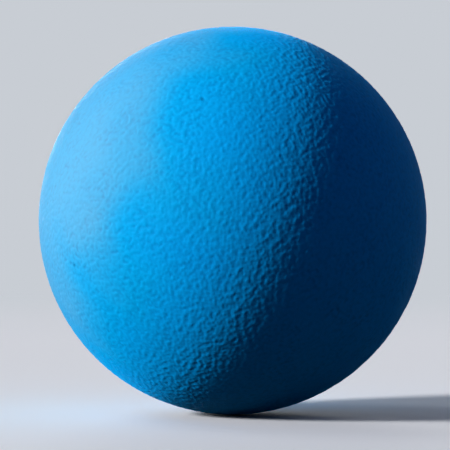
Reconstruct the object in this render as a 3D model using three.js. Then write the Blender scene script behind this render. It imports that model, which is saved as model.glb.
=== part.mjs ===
// A racquetball: two identical hollow rubber half shells, cemented lip to lip round the ball's equator.
// Millimetres, +Z up. The origin is the ball's centre. +Y is the moulding axis, square to the seam,
// so the seam is a ring in the XZ plane and each half shell's crown lies on Y.

import * as THREE from "three";

// Driving dimensions
const ballDiameter = 57.15; // the game's standard ball, two and a quarter inches
const wallThickness = 3.7; // even from crown to lip, and 40 g of rubber in all at this size
const cementThickness = 0.15; // dried cement between the buffed lips
const beadWidth = 1.8; // cement squeezed out on the inside, from edge to edge across the seam
const beadHeight = 0.45; // how far that bead stands off the inner wall

// Fineness of the faceting
const stepsAround = 72; // round the moulding axis
const stepsOutside = 18; // crown to lip along the skin
const stepsInside = 12; // crown to the cement bead along the inner wall
const stepsUnderBead = 1; // bead's edge to lip along the inner wall
const stepsOverBead = 6; // across the bead's rounded top

// Sizes that follow
const skinRadius = ballDiameter / 2;
const cavityRadius = skinRadius - wallThickness;
const lipHeight = cementThickness / 2; // the lip's flat face, measured from the seam plane
const beadEdgeHeight = beadWidth / 2; // the bead's edge, measured from the seam plane

// Polar angle, from the crown, of the circle that stands at a height above the seam plane on a sphere.
function angleAtHeight(radius, height) {
  return Math.acos(height / radius);
}

// Points of a meridian of a sphere between two polar angles, both ends included.
// A point's x is its distance from the moulding axis, and its y lies along that axis.
function meridian(radius, startAngle, endAngle, steps) {
  return Array.from({ length: steps + 1 }, (_, i) => {
    const angle = startAngle + ((endAngle - startAngle) * i) / steps;
    const onAxis = angle === 0;
    return new THREE.Vector2(onAxis ? 0 : radius * Math.sin(angle), radius * Math.cos(angle));
  });
}

// The stretch of inner wall that the cement bead covers, from the bead's edge to the lip.
// The half shell and the cement both take it, so that their faces meet exactly.
function wallUnderBead() {
  const edgeAngle = angleAtHeight(cavityRadius, beadEdgeHeight);
  const lipAngle = angleAtHeight(cavityRadius, lipHeight);
  return meridian(cavityRadius, edgeAngle, lipAngle, stepsUnderBead);
}

// One half shell, its crown on +Y: inner wall from crown to lip, the flat lip, then the skin
// back to the crown.
function halfShellGeometry() {
  const edgeAngle = angleAtHeight(cavityRadius, beadEdgeHeight);
  const innerWall = meridian(cavityRadius, 0, edgeAngle, stepsInside);
  const skin = meridian(skinRadius, angleAtHeight(skinRadius, lipHeight), 0, stepsOutside);
  const profile = [...innerWall, ...wallUnderBead().slice(1), ...skin];
  return new THREE.LatheGeometry(profile, stepsAround);
}

// The bead's rounded top, from its edge on one half shell to its edge on the other, both ends left out.
// It stands off the cavity's sphere by beadHeight at the seam, and falls away as a cosine towards each edge.
function beadTop() {
  const edgeAngle = angleAtHeight(cavityRadius, beadEdgeHeight);
  const halfSpan = Math.PI / 2 - edgeAngle;
  return Array.from({ length: stepsOverBead - 1 }, (_, i) => {
    const share = (2 * (i + 1)) / stepsOverBead - 1;
    const angle = Math.PI / 2 + share * halfSpan;
    const radius = cavityRadius - beadHeight * Math.cos((share * Math.PI) / 2);
    return new THREE.Vector2(radius * Math.sin(angle), radius * Math.cos(angle));
  });
}

// The cement: a thin flat web between the two lips, flush with the skin, and the bead on the inside.
// The profile runs out along the rear-facing side, in along the other and over the bead.
function cementGeometry() {
  const skinAngle = angleAtHeight(skinRadius, lipHeight);
  const skinEdge = new THREE.Vector2(skinRadius * Math.sin(skinAngle), skinRadius * Math.cos(skinAngle));
  const rearSide = [...wallUnderBead(), skinEdge];
  const frontSide = rearSide.map((point) => new THREE.Vector2(point.x, -point.y));
  const profile = [...frontSide, ...rearSide.reverse(), ...beadTop(), frontSide[0]];
  return new THREE.LatheGeometry(profile, stepsAround);
}

// Coloured natural and synthetic rubber, ground matt after the ball is joined.
const blueRubber = new THREE.MeshStandardMaterial({
  name: "blue_rubber",
  color: 0x04a6ee,
  roughness: 0.6,
  metalness: 0,
});

// Rubber cement, dried a shade darker than the shells.
const driedCement = new THREE.MeshStandardMaterial({
  name: "dried_cement",
  color: 0x0a80c4,
  roughness: 0.5,
  metalness: 0,
});

function mesh(name, geometry, material) {
  const made = new THREE.Mesh(geometry, material);
  made.name = name;
  return made;
}

const racquetball = new THREE.Group();
racquetball.name = "racquetball";

const rearHalfShell = mesh("rear_half_shell", halfShellGeometry(), blueRubber);

// The same moulding turned round, so that its lip faces the other's.
const frontHalfShell = mesh("front_half_shell", halfShellGeometry(), blueRubber);
frontHalfShell.rotation.z = Math.PI;

const seamCement = mesh("seam_cement", cementGeometry(), driedCement);

racquetball.add(rearHalfShell, frontHalfShell, seamCement);

export default racquetball;
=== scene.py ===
"""A racquetball under plain studio light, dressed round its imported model.

The ball is two moulded rubber half shells, cemented lip to lip. Each half shell is made here again as one
closed shell whose skin carries the fine pebble grain as real relief, and the cement as one closed ring
between the lips. Lengths are metres and +Z is up. The origin is the ball's centre, and +Y is the moulding
axis, square to the seam.
"""

import logging
import math
from dataclasses import dataclass
from enum import Enum

import bpy
import numpy as np
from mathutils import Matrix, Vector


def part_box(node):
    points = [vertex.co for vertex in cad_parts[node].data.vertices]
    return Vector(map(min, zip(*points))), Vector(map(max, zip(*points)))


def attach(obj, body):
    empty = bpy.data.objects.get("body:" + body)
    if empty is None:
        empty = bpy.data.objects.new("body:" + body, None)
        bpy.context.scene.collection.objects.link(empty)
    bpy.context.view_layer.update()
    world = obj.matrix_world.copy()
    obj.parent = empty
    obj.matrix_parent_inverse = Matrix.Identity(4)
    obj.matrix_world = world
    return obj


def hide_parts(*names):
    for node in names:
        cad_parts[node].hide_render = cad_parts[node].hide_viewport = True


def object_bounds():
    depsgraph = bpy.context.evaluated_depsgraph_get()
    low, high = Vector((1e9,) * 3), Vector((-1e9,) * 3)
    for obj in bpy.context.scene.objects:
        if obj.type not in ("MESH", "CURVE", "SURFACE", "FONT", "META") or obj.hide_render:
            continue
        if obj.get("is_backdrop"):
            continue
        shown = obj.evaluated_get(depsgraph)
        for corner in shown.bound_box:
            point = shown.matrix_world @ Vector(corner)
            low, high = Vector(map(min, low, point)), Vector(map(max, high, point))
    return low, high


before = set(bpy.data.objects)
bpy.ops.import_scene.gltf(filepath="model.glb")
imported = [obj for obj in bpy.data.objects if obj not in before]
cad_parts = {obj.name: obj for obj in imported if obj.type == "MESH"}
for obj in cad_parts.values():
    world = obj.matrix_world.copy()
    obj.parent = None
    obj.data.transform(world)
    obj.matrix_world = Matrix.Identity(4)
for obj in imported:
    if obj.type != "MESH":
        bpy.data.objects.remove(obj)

MM = 0.001  # one millimetre in metres
BODY = "root"  # nothing on a ball moves by itself, so every piece rides on this one body
SHARP_ANGLE = math.radians(40)  # faces that meet at more than this are shaded with an edge between them

log = logging.getLogger("racquetball")


# Helpers for meshes and materials


def linear(hex_colour: str) -> tuple[float, float, float, float]:
    """Turns an sRGB colour into the linear values that a shader takes.

    Each channel c becomes c / 12.92 up to 0.04045, and ((c + 0.055) / 1.055) to the power 2.4 above it.

    Args:
        hex_colour: the colour as "#rrggbb".

    Returns:
        Red, green and blue, then an alpha of 1.
    """
    srgb = np.array([int(hex_colour[i:i + 2], 16) for i in (1, 3, 5)]) / 255
    values = np.where(srgb <= 0.04045, srgb / 12.92, ((srgb + 0.055) / 1.055) ** 2.4)
    return (*values.tolist(), 1.0)


def add_node(tree: bpy.types.NodeTree, kind: str, inputs: dict | None = None, **settings) -> bpy.types.Node:
    """Adds one shader node to a tree, sets it up and links what feeds it.

    Args:
        tree: the material's or the world's node tree.
        kind: the node's type, without the word ShaderNode.
        inputs: a value or another node's output for each input, by its name or number.
        settings: the node's own properties, such as operation.

    Returns:
        The new node.
    """
    made = tree.nodes.new("ShaderNode" + kind)
    for name, value in settings.items():
        setattr(made, name, value)
    for key, value in (inputs or {}).items():
        if isinstance(value, bpy.types.NodeSocket):
            tree.links.new(value, made.inputs[key])
        else:
            made.inputs[key].default_value = value
    return made


def new_material(name: str) -> tuple[bpy.types.Material, bpy.types.NodeTree]:
    """Makes an empty node material, and returns it with its tree."""
    material = bpy.data.materials.new(name)
    material.use_nodes = True
    material.node_tree.nodes.clear()
    return material, material.node_tree


def direction_at(azimuth: float, elevation: float) -> np.ndarray:
    """Turns angles into a unit vector.

    Args:
        azimuth: degrees round from the camera's side, which is -Y, positive towards +X.
        elevation: degrees above the horizon.

    Returns:
        The vector's x, y and z.
    """
    round_angle, rise = math.radians(azimuth), math.radians(elevation)
    level = math.cos(rise)
    return np.array([level * math.sin(round_angle), -level * math.cos(round_angle), math.sin(rise)])


def smooth_step(values: np.ndarray) -> np.ndarray:
    """Runs smoothly from 0 to 1 as each value t does, by 3 t squared less 2 t cubed, level beyond."""
    t = np.clip(values, 0, 1)
    return 3 * t ** 2 - 2 * t ** 3


def mesh_object(name: str, points: np.ndarray, faces: list[np.ndarray]) -> bpy.types.Object:
    """Makes a smooth-shaded mesh object at the origin from whole arrays.

    Args:
        name: the object's name, and its mesh's.
        points: one row of x, y and z for each vertex.
        faces: arrays of vertex numbers, one row for each face, counter-clockwise seen from outside. The
            faces of one array have the same number of corners.

    Returns:
        The object, linked to the scene.
    """
    corners = np.concatenate([block.ravel() for block in faces])
    sizes = np.concatenate([np.full(len(block), block.shape[1]) for block in faces])
    mesh = bpy.data.meshes.new(name)
    mesh.vertices.add(len(points))
    mesh.vertices.foreach_set("co", points.astype(np.float32).ravel())
    mesh.loops.add(len(corners))
    mesh.loops.foreach_set("vertex_index", corners.astype(np.int32))
    mesh.polygons.add(len(sizes))
    mesh.polygons.foreach_set("loop_start", np.r_[0, np.cumsum(sizes)[:-1]].astype(np.int32))
    mesh.polygons.foreach_set("use_smooth", np.ones(len(sizes), bool))
    mesh.update(calc_edges=True)
    mesh.validate()
    made = bpy.data.objects.new(name, mesh)
    bpy.context.scene.collection.objects.link(made)
    return made


def set_attribute(piece: bpy.types.Object, name: str, values: np.ndarray) -> None:
    """Stores one number for each vertex under a name that the materials read."""
    layer = piece.data.attributes.new(name, "FLOAT", "POINT")
    layer.data.foreach_set("value", values.astype(np.float32))


# The camera, because two marks on the skin are placed by what it sees


@dataclass(frozen=True)
class PhotographView:
    """The photograph's view: level, square to the seam, with the ball's outline in the same place."""

    image_side: float = 450.0  # pixels; the picture is square
    outline_column: float = 232.67  # pixels from the left to the outline's centre
    outline_row: float = 220.60  # pixels from the top to the outline's centre
    outline_radius: float = 194.08  # pixels
    focal_length: float = 200.0  # millimetres
    sensor_width: float = 36.0  # millimetres

    def outline_slope(self) -> float:
        """Tangent of the angle between the line to the ball's centre and the line to its outline."""
        return self.outline_radius / self.image_side * self.sensor_width / self.focal_length

    def distance(self, ball_radius: float) -> float:
        """Distance from the ball's centre at which its outline has the photograph's size."""
        return ball_radius / math.sin(math.atan(self.outline_slope()))

    def direction_seen_at(self, column: float, row: float) -> np.ndarray:
        """Finds the point of the ball that a pixel shows.

        The line of sight leaves the axis by an angle b. It meets the sphere where the sphere's own angle
        from that axis is the arcsine of sin(b) / sin(outline's b), less b.

        Args:
            column: pixels from the left.
            row: pixels from the top.

        Returns:
            The unit vector from the ball's centre to that point.
        """
        across = (column - self.outline_column) / self.outline_radius
        up = (self.outline_row - row) / self.outline_radius
        share = math.hypot(across, up)
        sight = math.atan(share * self.outline_slope())
        edge = math.atan(self.outline_slope())
        from_axis = math.asin(math.sin(sight) / math.sin(edge)) - sight
        sideways = math.sin(from_axis) / share
        return np.array([across * sideways, -math.cos(from_axis), up * sideways])

    def build(self, ball_radius: float) -> bpy.types.Object:
        """Makes the scene's camera.

        Args:
            ball_radius: the ball's radius in metres.

        Returns:
            The camera object.
        """
        data = bpy.data.cameras.new("camera")
        data.lens = self.focal_length
        data.sensor_width = self.sensor_width
        data.shift_x = -(self.outline_column - self.image_side / 2) / self.image_side
        data.shift_y = (self.outline_row - self.image_side / 2) / self.image_side
        camera = bpy.data.objects.new("camera", data)
        camera.location = (0, -self.distance(ball_radius), 0)
        camera.rotation_euler = (math.pi / 2, 0, 0)
        bpy.context.scene.collection.objects.link(camera)
        bpy.context.scene.camera = camera
        return camera


# Finishes


@dataclass(frozen=True)
class GroundRubber:
    """Coloured rubber, moulded with a fine grain and then ground matt.

    The grinding leaves it dull, but for a faint gloss where light from behind glances off it. The low
    places of the grain are painted darker in clouds, as a trace of dirt and as painted shade. On the side
    that the key lamp lights, the colour is painted less blue and, over that, paler as a cloudy haze: a
    painted highlight.
    """

    name: str = "ground_blue_rubber"
    colour: str = "#00b0ff"
    # painted highlight: the lit side's colour, less blue where the key lamp falls
    highlight_tint_colour: str = "#00b0d4"
    # painted highlight: a pale cloudy haze over the lit side
    highlight_haze_colour: str = "#a5b3d4"
    dirt_and_shade_tint: str = "#b4bccc"  # what it multiplies the colour under it by, in the grain's low places: dirt and painted shade
    # painted shade: the colour darkens inside each pore's pit
    pore_shade_colour: str = "#025f92"
    roughness: float = 0.60
    ior: float = 1.52
    gloss: float = 0.03  # the specular level: a ground and dusty skin reflects far less than a clean one
    sheen: float = 0.6  # of the ground skin's fine dust, which brightens it towards the outline
    sheen_roughness: float = 0.6
    sheen_tint: str = "#00b4ff"
    dirt_and_shade_pitch: float = 5.0 * MM  # from cloud to cloud
    grit_pitch: float = 0.52 * MM  # marks of the grinding, drawn about three times as coarse as they are
    grit_depth: float = 0.061 * MM  # at the noise's full range, which it seldom reaches
    undarkened_grit: float = 0.7  # the noise at which a mark of the grinding stands too high to be darkened with dirt and painted shade
    darkest_grit: float = 0.3  # and at which it is darkened all the way

    def build(self) -> bpy.types.Material:
        """Makes the material, which reads the skin's attributes hollow, grained, fading, bloom and pore."""
        material, tree = new_material(self.name)
        place = add_node(tree, "TexCoord").outputs["Object"]
        clouds = add_node(tree, "TexNoise", {"Vector": place, "Scale": 1 / self.dirt_and_shade_pitch, "Detail": 3.0})
        shares = {
            name: add_node(tree, "Attribute", attribute_name=name).outputs["Fac"]
            for name in ("hollow", "grained", "highlight_tint", "highlight_haze", "pore")
        }
        grit = add_node(tree, "TexNoise", {"Vector": place, "Scale": 1 / self.grit_pitch, "Detail": 0.0})
        scratched = add_node(
            tree, "MapRange",
            {"Value": grit.outputs["Fac"], "From Min": self.undarkened_grit, "From Max": self.darkest_grit},
        )
        low = add_node(tree, "Math", {0: scratched.outputs[0], 1: shares["hollow"]}, operation="MULTIPLY")
        dirt_and_shade = add_node(tree, "Math", {0: clouds.outputs["Fac"], 1: low.outputs[0]}, operation="MULTIPLY")
        # over the colour: the lit side's painted highlight tint, darkening in the grain's low places for
        # dirt and painted shade, the painted highlight's pale haze, and painted shade in the pores' pits
        layers = (
            ("MIX", shares["highlight_tint"], self.highlight_tint_colour),
            ("MULTIPLY", dirt_and_shade.outputs[0], self.dirt_and_shade_tint),
            ("MIX", shares["highlight_haze"], self.highlight_haze_colour),
            ("MIX", shares["pore"], self.pore_shade_colour),
        )
        colour = linear(self.colour)
        for blend, share, layer_colour in layers:
            mixed = add_node(
                tree, "Mix", {"Factor": share, "A": colour, "B": linear(layer_colour)},
                data_type="RGBA", blend_type=blend,
            )
            colour = mixed.outputs["Result"]
        bump = add_node(
            tree, "Bump",
            {"Height": grit.outputs["Fac"], "Strength": shares["grained"], "Distance": self.grit_depth},
        )
        shader = add_node(
            tree, "BsdfPrincipled",
            {
                "Base Color": colour,
                "Roughness": self.roughness,
                "IOR": self.ior,
                "Specular IOR Level": self.gloss,
                "Sheen Weight": self.sheen,
                "Sheen Roughness": self.sheen_roughness,
                "Sheen Tint": linear(self.sheen_tint),
                "Normal": bump.outputs["Normal"],
            },
        )
        add_node(tree, "OutputMaterial", {"Surface": shader.outputs["BSDF"]})
        return material


@dataclass(frozen=True)
class DriedCement:
    """Rubber cement, brushed on the lips and dried between them.

    It dries a shade deeper than the shells and a little glossier, with small lumps where it squeezed out.
    """

    name: str = "dried_rubber_cement"
    colour: str = "#0a80c4"
    roughness: float = 0.5
    ior: float = 1.52
    lump_pitch: float = 1.2 * MM
    lump_depth: float = 0.03 * MM

    def build(self) -> bpy.types.Material:
        """Makes the material."""
        material, tree = new_material(self.name)
        place = add_node(tree, "TexCoord").outputs["Object"]
        lumps = add_node(tree, "TexNoise", {"Vector": place, "Scale": 1 / self.lump_pitch, "Detail": 2.0})
        bump = add_node(
            tree, "Bump", {"Height": lumps.outputs["Fac"], "Strength": 1.0, "Distance": self.lump_depth}
        )
        shader = add_node(
            tree, "BsdfPrincipled",
            {
                "Base Color": linear(self.colour),
                "Roughness": self.roughness,
                "IOR": self.ior,
                "Normal": bump.outputs["Normal"],
            },
        )
        add_node(tree, "OutputMaterial", {"Surface": shader.outputs["BSDF"]})
        return material


# What the skin carries: its grain, its painted highlight and its pores


@dataclass(frozen=True)
class WaveField:
    """An uneven field through space, without a seam.

    It is a sum of plane waves, each with a direction, a wavelength near the pitch and a phase drawn from
    one seeded generator, scaled so that its standard deviation is 1. A lean turns the directions towards
    itself: a direction d gains the lean times its product with d, before it is made a unit vector again.
    """

    pitch: float
    spread: float  # of the wavelengths, as the logarithm's standard deviation
    waves: int
    seed: int
    lean: tuple[float, float, float] = (0.0, 0.0, 0.0)
    lot: int = 30  # waves summed at a time, to spare memory

    def values(self, points: np.ndarray) -> np.ndarray:
        """Works out the field.

        Args:
            points: one row of x, y and z for each point, in metres.

        Returns:
            One value for each point.
        """
        draw = np.random.default_rng(self.seed)
        directions = draw.normal(size=(self.waves, 3))
        directions += np.outer(directions @ self.lean, self.lean)
        directions /= np.linalg.norm(directions, axis=1, keepdims=True)
        lengths = self.pitch * np.exp(self.spread * draw.normal(size=self.waves))
        phases = draw.uniform(0, 2 * np.pi, self.waves)
        wave_vectors = directions * (2 * np.pi / lengths)[:, None]
        total = np.zeros(len(points))
        for first in range(0, self.waves, self.lot):
            part = slice(first, first + self.lot)
            total += np.cos(points @ wave_vectors[part].T + phases[part]).sum(axis=1)
        return total * math.sqrt(2 / self.waves)


@dataclass(frozen=True)
class PebbleGrain:
    """Fine raised grain of rounded pebbles: a wave field under a hyperbolic tangent, off its middle."""

    field: WaveField = WaveField(pitch=0.90 * MM, spread=0.22, waves=360, seed=11, lean=(0.6, 0.0, -0.6))
    depth: float = 0.066 * MM  # from the highest places to the lowest
    steepness: float = 0.7
    offset: float = 0.2

    def height(self, points: np.ndarray) -> np.ndarray:
        """Works out the grain's height at each point, from 0, lowest, to 1, highest."""
        return 0.5 + 0.5 * np.tanh(self.steepness * self.field.values(points) - self.offset)


@dataclass(frozen=True)
class PaintedHighlight:
    """A colour painted on the ball's lit side, full there and dying out round it: a painted highlight."""

    outer: float  # cosine of the angle from its middle at which it starts
    inner: float  # and at which it is full
    strength: float
    azimuth: float = -90.0  # of its middle, in degrees round from the side that the photograph shows
    elevation: float = 23.6
    drift: WaveField = WaveField(pitch=20 * MM, spread=0.4, waves=24, seed=1011)  # how the edge wanders
    drift_reach: float = 0.036  # the drift's standard deviation, as a cosine
    blotch: WaveField = WaveField(pitch=11 * MM, spread=0.3, waves=32, seed=2428)  # how the edge breaks up
    blotch_reach: float = 0.030  # the same for the blotches

    def share(self, points: np.ndarray) -> np.ndarray:
        """Works out how far each point is changed.

        It is the strength times the smooth step of t. The cosine of the point's angle from the middle,
        raised or lowered by the drift and the blotches, takes t from 0 at the outer cosine to 1 at the
        inner one.

        Args:
            points: one row of x, y and z for each point, in metres.

        Returns:
            A number from 0 to the strength for each point.
        """
        cosine = points @ direction_at(self.azimuth, self.elevation) / np.linalg.norm(points, axis=1)
        moved = cosine + self.drift_reach * self.drift.values(points)
        moved = moved + self.blotch_reach * self.blotch.values(points)
        return self.strength * smooth_step((moved - self.outer) / (self.inner - self.outer))


@dataclass(frozen=True)
class Pore:
    """A tiny pit in the skin, where a bubble in the rubber has been ground open."""

    direction: tuple[float, float, float]  # from the ball's centre
    radius: float = 0.24 * MM
    depth: float = 0.06 * MM

    def share(self, points: np.ndarray) -> np.ndarray:
        """Gives each point 1 at the pore's middle, falling away as a bell curve of the distance."""
        middle = np.array(self.direction) * np.linalg.norm(points, axis=1, keepdims=True)
        distance = np.linalg.norm(points - middle, axis=1)
        return np.exp(-((distance / self.radius) ** 2))


# The ball's pieces


class Half(Enum):
    """Which half shell, by the way its crown points along Y."""

    REAR = 1
    FRONT = -1

    @property
    def node(self) -> str:
        """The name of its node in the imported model."""
        return f"{self.name.lower()}_half_shell"


def half_sphere_grid(cells: int, lip_latitude: float) -> tuple[np.ndarray, np.ndarray, np.ndarray]:
    """Lays a grid of nearly square cells over a half sphere whose crown is on +Y.

    It is the top and half the sides of a cube, with lines at equal angles, blown up to a sphere: the
    point (u, v) of the top goes to the direction (tan u, 1, tan v), and the sides come down from the
    top's edge as a belt. A belt point's latitude is atan(tan(v) times the cosine of its longitude within
    its side), raised towards the bottom so that the last row is a level circle.

    Args:
        cells: cells along the cube's edge, an even number.
        lip_latitude: latitude of the bottom row above the seam's plane, in radians.

    Returns:
        Unit vectors, the quads, and the vertex numbers of the bottom row. The row starts half way between
        +X and -Z, and turns from +X towards +Z.
    """
    half = cells // 2
    steps = np.tan(np.linspace(-math.pi / 4, math.pi / 4, cells + 1))
    top_x, top_z = np.meshgrid(steps, steps, indexing="ij")
    top = np.stack([top_x, np.ones_like(top_x), top_z], axis=-1).reshape(-1, 3)
    number = np.arange((cells + 1) ** 2).reshape(cells + 1, cells + 1)
    corners = [number[:-1, :-1], number[:-1, 1:], number[1:, 1:], number[1:, :-1]]
    top_quads = np.stack(corners, axis=-1).reshape(-1, 4)
    edge = np.concatenate([number[-1, :-1], number[:0:-1, -1], number[0, :0:-1], number[:-1, 0]])

    longitude = np.arctan2(top[edge, 2], top[edge, 0])
    across = np.hypot(top[edge, 0], top[edge, 2])
    rise = np.tan(np.linspace(0, math.pi / 4, half + 1))[:-1, None]
    fade = 1 - np.arange(half)[:, None] / half
    latitude = np.arctan(rise / across) + lip_latitude * fade
    level = np.cos(latitude)
    belt = np.stack(
        [level * np.cos(longitude), np.sin(latitude), level * np.sin(longitude)], axis=-1
    ).reshape(-1, 3)
    rows = np.vstack([len(top) + np.arange(half * len(edge)).reshape(half, -1), edge])
    right = np.roll(rows, -1, axis=1)
    belt_quads = np.stack([rows[:-1], rows[1:], right[1:], right[:-1]], axis=-1).reshape(-1, 4)

    directions = np.vstack([top / np.linalg.norm(top, axis=1, keepdims=True), belt])
    return directions, np.vstack([top_quads, belt_quads]), rows[0]


@dataclass(frozen=True)
class HalfShell:
    """One moulded half shell, closed all round: grained skin, rounded edge, flat lip, smooth inner wall."""

    half: Half
    skin_radius: float
    cavity_radius: float
    lip_height: float  # of the flat lip above the seam's plane
    grain: PebbleGrain
    # the painted highlight: the lit side's tint and, over it, its pale haze
    highlight_tint: PaintedHighlight
    highlight_haze: PaintedHighlight
    pores: tuple[Pore, ...]
    skin_cells: int = 168  # along a quarter turn, so a cell is about a quarter of a millimetre
    cavity_cells: int = 42
    last_row_height: float = 0.30 * MM  # where the skin's grid ends above the seam's plane
    buffed_band: float = 0.9 * MM  # above that row, where grinding the seam has worn the grain away
    edge_radius: float = 0.05 * MM  # buffed round the lip's outer edge
    edge_steps: int = 4

    def skin(self) -> tuple[np.ndarray, np.ndarray, np.ndarray, np.ndarray, np.ndarray, np.ndarray]:
        """Makes the grained skin down to its last row.

        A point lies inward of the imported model's skin by the grain's depth times its hollowness, which is
        1 - height, and by each pore's depth times its share, so that nothing stands proud of that skin.
        Across the buffed band, towards the seam, the hollowness runs smoothly into its mean.

        Returns:
            Points, quads, the last row's numbers, the grain's hollowness, the share of the grain that is
            left and the pores' share.
        """
        directions, quads, last_row = half_sphere_grid(
            self.skin_cells, math.asin(self.last_row_height / self.skin_radius)
        )
        points = self.turned(directions) * self.skin_radius
        hollow = 1 - self.grain.height(points)
        left = smooth_step((np.abs(points[:, 1]) - self.last_row_height) / self.buffed_band)
        hollow = hollow.mean() + left * (hollow - hollow.mean())
        pore = np.zeros(len(points))
        inward = self.grain.depth * hollow
        for one in self.pores:
            share = one.share(points)
            pore = np.maximum(pore, share)
            inward = inward + one.depth * share
        return points * (1 - inward / self.skin_radius)[:, None], quads, last_row, hollow, left, pore

    def turned(self, points: np.ndarray) -> np.ndarray:
        """Turns the front half shell half a turn about Z, as its node is, and leaves the rear one."""
        return points * (self.half.value, self.half.value, 1)

    def edge_rings(self, row: np.ndarray) -> np.ndarray:
        """Carries the skin's last row down to the lip round a quarter of an ellipse.

        At share t the ring's height above the seam's plane falls from the row's to the lip's with sin(90
        t degrees), and it draws in towards the axis by the edge's radius times 1 - cos(90 t degrees).

        Args:
            row: the last row's points.

        Returns:
            The rings' points, ring after ring, the last one on the lip.
        """
        axis_side = self.half.value
        across = np.hypot(row[:, 0], row[:, 2])
        rings = []
        for t in np.linspace(0, 1, self.edge_steps + 1)[1:]:
            turn = t * math.pi / 2
            height = self.last_row_height + (self.lip_height - self.last_row_height) * math.sin(turn)
            radius = across - self.edge_radius * (1 - math.cos(turn))
            rings.append(np.column_stack([
                row[:, 0] / across * radius,
                np.full(len(row), axis_side * height),
                row[:, 2] / across * radius,
            ]))
        return np.vstack(rings)

    def build(self, finish: bpy.types.Material) -> bpy.types.Object:
        """Builds the closed shell, dresses it, puts it on the ball's one body and hides its node.

        Args:
            finish: the rubber.

        Returns:
            The piece.
        """
        skin, skin_quads, last_row, hollow, left, pore = self.skin()
        around = len(last_row)
        rings = self.edge_rings(skin[last_row])
        ring_rows = np.vstack([last_row, len(skin) + np.arange(len(rings)).reshape(-1, around)])
        ring_right = np.roll(ring_rows, -1, axis=1)
        ring_corners = [ring_rows[1:], ring_rows[:-1], ring_right[:-1], ring_right[1:]]
        ring_quads = np.stack(ring_corners, axis=-1).reshape(-1, 4)

        wall, wall_quads, wall_row = half_sphere_grid(
            self.cavity_cells, math.asin(self.lip_height / self.cavity_radius)
        )
        wall = self.turned(wall) * self.cavity_radius
        first = len(skin) + len(rings)
        wall_quads = wall_quads[:, ::-1] + first
        wall_row = wall_row + first

        step = around // len(wall_row)
        outer = ring_rows[-1]
        following = np.roll(outer, -step).reshape(-1, step)[:, 0]
        outer_by_step = np.column_stack([outer.reshape(-1, step), following])
        inner_next = np.roll(wall_row, -1)
        fans = [np.column_stack([outer_by_step[:, step // 2], inner_next, wall_row])]
        for i in range(step):
            inner = wall_row if i < step // 2 else inner_next
            fans.append(np.column_stack([outer_by_step[:, i], outer_by_step[:, i + 1], inner]))

        piece = mesh_object(
            f"{self.half.name.lower()}_shell",
            np.vstack([skin, rings, wall]),
            [skin_quads, ring_quads, wall_quads, *fans],
        )
        rest = np.zeros(len(rings) + len(wall))
        set_attribute(piece, "hollow", np.r_[hollow, rest + hollow.mean()])
        set_attribute(piece, "grained", np.r_[left, rest])
        # the painted highlight: the lit side's tint and, over it, its pale haze
        set_attribute(piece, "highlight_tint", np.r_[self.highlight_tint.share(skin), rest])
        set_attribute(piece, "highlight_haze", np.r_[self.highlight_haze.share(skin), rest])
        set_attribute(piece, "pore", np.r_[pore, rest])
        piece.data.set_sharp_from_angle(angle=SHARP_ANGLE)
        piece.data.materials.append(finish)
        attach(piece, BODY)
        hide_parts(self.half.node)
        return piece


@dataclass(frozen=True)
class SeamCement:
    """The dried cement: a thin web between the lips, just short of the skin, and the low bead inside."""

    skin_radius: float
    cavity_radius: float
    lip_height: float
    bead_half_width: float
    bead_height: float
    set_back: float = 0.080 * MM  # of the web's outer edge from the ball's surface
    bulge: float = 0.010 * MM  # of that edge's middle, where the cement was squeezed out and ground off
    bead_steps: int = 10
    columns: int = 504

    def profile(self) -> np.ndarray:
        """Works out the ring's cross section.

        The web's outer edge is a flat arc, the wall under the bead follows the cavity's circle, and the
        bead's top stands off that circle by its height times the cosine of 90 degrees times s, which is
        the share of the way from the seam to the bead's edge.

        Returns:
            One row of distance from the axis and place along it for each corner, counter-clockwise.
        """
        edge = self.skin_radius - self.set_back
        lip = self.lip_height
        outer = np.array([[edge, -lip], [edge + self.bulge, 0], [edge, lip]])
        half_angle = math.asin(self.bead_half_width / self.cavity_radius)
        lip_angle = math.asin(lip / self.cavity_radius)
        share = np.linspace(1, -1, self.bead_steps + 1)
        radius = self.cavity_radius - self.bead_height * np.cos(share * math.pi / 2)
        bead = np.column_stack([radius * np.cos(share * half_angle), radius * np.sin(share * half_angle)])
        upper = self.cavity_radius * np.array([[math.cos(lip_angle), math.sin(lip_angle)]])
        lower = upper * (1, -1)
        return np.vstack([outer, upper, bead, lower])

    def build(self, finish: bpy.types.Material) -> bpy.types.Object:
        """Builds the closed ring, dresses it, puts it on the ball's one body and hides its node.

        Args:
            finish: the dried cement.

        Returns:
            The piece.
        """
        profile = self.profile()
        angle = np.linspace(0, 2 * math.pi, self.columns, endpoint=False)[:, None]
        points = np.stack([
            np.cos(angle) * profile[:, 0], np.broadcast_to(profile[:, 1], (self.columns, len(profile))),
            np.sin(angle) * profile[:, 0],
        ], axis=-1).reshape(-1, 3)
        number = np.arange(len(points)).reshape(self.columns, -1)
        along, beside = np.roll(number, -1, axis=1), np.roll(number, -1, axis=0)
        both = np.roll(along, -1, axis=0)
        quads = np.stack([number, along, both, beside], axis=-1).reshape(-1, 4)
        piece = mesh_object("cement_ring", points, [quads])
        piece.data.set_sharp_from_angle(angle=SHARP_ANGLE)
        piece.data.materials.append(finish)
        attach(piece, BODY)
        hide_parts("seam_cement")
        return piece


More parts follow.
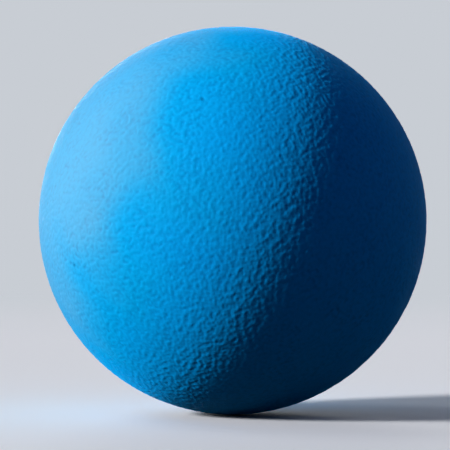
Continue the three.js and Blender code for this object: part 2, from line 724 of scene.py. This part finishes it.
@dataclass(frozen=True)
class Racquetball:
    """The whole ball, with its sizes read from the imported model."""

    view: PhotographView
    wall: float = 3.7 * MM
    bead_height: float = 0.45 * MM  # of the cement inside, off the inner wall
    pore_pixels: tuple[tuple[float, float], ...] = ((202, 99), (74, 265))  # where the photograph shows two
    # painted highlight: the lit side's colour painted less blue, and a pale haze painted over it
    highlight_tint: PaintedHighlight = PaintedHighlight(outer=-0.08, inner=0.92, strength=1.0)
    highlight_haze: PaintedHighlight = PaintedHighlight(outer=0.314, inner=0.80, strength=0.29, azimuth=-94)

    def build(self) -> list[bpy.types.Object]:
        """Builds the half shells and the cement.

        Returns:
            The three pieces.
        """
        skin_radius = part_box(Half.REAR.node)[1].y
        lip_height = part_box(Half.REAR.node)[0].y
        bead_half_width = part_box("seam_cement")[1].y
        cavity_radius = skin_radius - self.wall
        rubber = GroundRubber().build()
        cement = DriedCement().build()
        grain = PebbleGrain()
        sizes = (skin_radius, cavity_radius, lip_height)
        seen = tuple(Pore(tuple(self.view.direction_seen_at(*pixel))) for pixel in self.pore_pixels)
        pieces = [
            HalfShell(Half.REAR, *sizes, grain, self.highlight_tint, self.highlight_haze, ()).build(rubber),
            HalfShell(Half.FRONT, *sizes, grain, self.highlight_tint, self.highlight_haze, seen).build(rubber),
            SeamCement(*sizes, bead_half_width, self.bead_height).build(cement),
        ]
        for piece in pieces:
            triangles = sum(len(face.vertices) - 2 for face in piece.data.polygons)
            log.info("%s: %d triangles", piece.name, triangles)
        return pieces


# The studio


@dataclass(frozen=True)
class Lamp:
    """A soft lamp far off, given by where its light comes from."""

    name: str
    azimuth: float  # degrees round from the camera's side, positive to the camera's right
    elevation: float  # degrees above the horizon
    level: float  # how brightly it lights a white sheet that faces it, 1 being white
    softness: float  # the lamp's width in degrees as the ball sees it
    colour: str = "#ffffff"

    def build(self) -> bpy.types.Object:
        """Makes the lamp as a sun, whose strength is pi times the level."""
        data = bpy.data.lights.new(self.name, "SUN")
        data.energy = math.pi * self.level
        data.angle = math.radians(self.softness)
        data.color = linear(self.colour)[:3]
        lamp = bpy.data.objects.new(self.name, data)
        lamp.rotation_euler = (math.pi / 2 - math.radians(self.elevation), 0, math.radians(self.azimuth))
        bpy.context.scene.collection.objects.link(lamp)
        return lamp


@dataclass(frozen=True)
class Studio:
    """A plain pale floor that runs on into a pale background, and soft lamps."""

    floor_height: float
    floor_radius: float = 12.0
    floor_columns: int = 96
    fade_start: float = 0.20  # from the ball's foot, where the floor begins to run into the background
    fade_end: float = 0.60
    floor_colour: str = "#f1f0ec"
    bounce_colour: str = "#3a3b3c"
    background: str = "#c8cdd4"
    fill_colour: str = "#89b2ff"
    fill_level: float = 0.10
    lamps: tuple[Lamp, ...] = (
        Lamp("key_lamp", azimuth=-71, elevation=21, level=1.46, softness=12, colour="#f6f7ff"),
        Lamp("left_lamp", azimuth=-125, elevation=2, level=0.30, softness=20),
        Lamp("rear_left_lamp", azimuth=-168, elevation=3, level=0.45, softness=24),
        Lamp("rear_top_lamp", azimuth=-174, elevation=12, level=0.35, softness=24),
        Lamp("top_lamp", azimuth=-120, elevation=50, level=0.10, softness=24),
        Lamp("right_lamp", azimuth=120, elevation=4, level=0.02, softness=30, colour="#dfe8ff"),
    )

    @staticmethod
    def seen(tree: bpy.types.NodeTree) -> bpy.types.NodeSocket:
        """Adds nodes that give 1 to the camera, to reflections and to sight through glass, and else 0."""
        path = add_node(tree, "LightPath").outputs
        shares = path["Is Camera Ray"]
        for other in (path["Is Glossy Ray"], path["Is Transmission Ray"]):
            shares = add_node(tree, "Math", {0: shares, 1: other}, operation="MAXIMUM").outputs[0]
        return shares

    def build_floor(self) -> bpy.types.Object:
        """Makes the floor, a round sheet that faces up.

        It is pale where it is seen, and darker in the light that it throws. Far from the ball it runs
        into the background, so that no horizon shows: its share of the background goes smoothly from 0 at
        fade_start to 1 at fade_end.

        Returns:
            The floor.
        """
        angle = np.linspace(0, 2 * math.pi, self.floor_columns, endpoint=False)
        rim = np.column_stack([
            self.floor_radius * np.cos(angle),
            self.floor_radius * np.sin(angle),
            np.full(len(angle), self.floor_height),
        ])
        floor = mesh_object("floor", rim, [np.arange(len(angle))[None, :]])
        material, tree = new_material("matt_card")
        seen = self.seen(tree)
        colour = add_node(
            tree, "Mix", {"Factor": seen, "A": linear(self.bounce_colour), "B": linear(self.floor_colour)},
            data_type="RGBA",
        )
        lit = add_node(tree, "BsdfDiffuse", {"Color": colour.outputs["Result"]})
        plain = add_node(tree, "Emission", {"Color": linear(self.background)})
        place = add_node(tree, "TexCoord").outputs["Object"]
        reach = add_node(tree, "VectorMath", {0: place}, operation="LENGTH").outputs["Value"]
        fade = add_node(
            tree, "MapRange", {"Value": reach, "From Min": self.fade_start, "From Max": self.fade_end},
            interpolation_type="SMOOTHSTEP",
        )
        share = add_node(tree, "Math", {0: fade.outputs[0], 1: seen}, operation="MULTIPLY")
        surface = add_node(tree, "MixShader", {0: share.outputs[0], 1: lit.outputs[0], 2: plain.outputs[0]})
        add_node(tree, "OutputMaterial", {"Surface": surface.outputs[0]})
        floor.data.materials.append(material)
        floor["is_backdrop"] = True
        return floor

    def build_world(self) -> bpy.types.World:
        """Makes the world: the pale background where it is seen, and else the weak fill light."""
        world = bpy.data.worlds.new("studio")
        world.use_nodes = True
        tree = world.node_tree
        tree.nodes.clear()
        fill = add_node(
            tree, "Background", {"Color": linear(self.fill_colour), "Strength": self.fill_level}
        )
        pale = add_node(tree, "Background", {"Color": linear(self.background), "Strength": 1.0})
        mix = add_node(tree, "MixShader", {0: self.seen(tree), 1: fill.outputs[0], 2: pale.outputs[0]})
        add_node(tree, "OutputWorld", {"Surface": mix.outputs[0]})
        bpy.context.scene.world = world
        return world

    def build(self) -> None:
        """Makes the floor, the world and the lamps."""
        self.build_floor()
        self.build_world()
        for lamp in self.lamps:
            lamp.build()
        bpy.context.scene.view_settings.view_transform = "Standard"


def main() -> None:
    """Builds the ball and the studio."""
    logging.basicConfig(level=logging.INFO, format="%(name)s: %(message)s")
    cad_box = [list(corner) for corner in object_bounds()]
    view = PhotographView()
    ball_radius = cad_box[1][2]
    view.build(ball_radius)
    Racquetball(view).build()
    Studio(floor_height=cad_box[0][2]).build()


if __name__ == "__main__":
    main()
